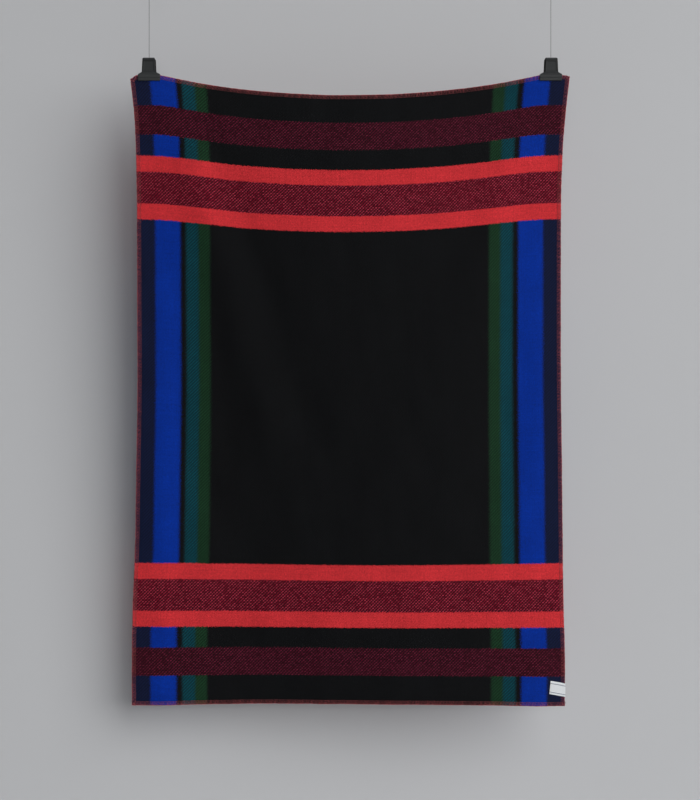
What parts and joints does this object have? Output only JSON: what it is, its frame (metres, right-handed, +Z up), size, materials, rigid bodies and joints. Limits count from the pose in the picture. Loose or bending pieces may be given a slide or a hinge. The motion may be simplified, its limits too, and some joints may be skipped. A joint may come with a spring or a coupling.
{
  "type": "wool blanket hung from clips on wires",
  "caption": "Draped woollen blanket with an overlocked edge, hung face on by its top corners from spring clips on taut wires under small ceiling cups.",
  "frame": {"origin": "midway between the two ceiling cups, on the ceiling plane where their top faces lie", "axes": "+Z up, the blanket's front faces -Y, +X to the right seen from the front"},
  "size_m": [1.3942, 0.0582, 2.282],
  "materials": {
    "wool": "brushed wool twill, mostly black, with coral, burgundy, blue, navy, teal and green stripes and a coral overlocked edge",
    "label": "plain woven off-white strip with two thin grey-blue lines",
    "clip": "satin dark grey",
    "steel": "plain steel",
    "wire": "stranded steel, dull grey",
    "cup": "satin turned metal"
  },
  "bodies": {
    "root": {"blanket": "wool", "label": "label", "left_clip_front": "clip", "left_clip_back": "clip", "left_clip_pin": "steel", "left_clip_spring": "steel", "left_clip_yoke": "steel", "left_ferrule": "steel", "left_wire": "wire", "left_ceiling_cup": "cup", "right_clip_front": "clip", "right_clip_back": "clip", "right_clip_pin": "steel", "right_clip_spring": "steel", "right_clip_yoke": "steel", "right_ferrule": "steel", "right_wire": "wire", "right_ceiling_cup": "cup"}
  },
  "joints": []
}
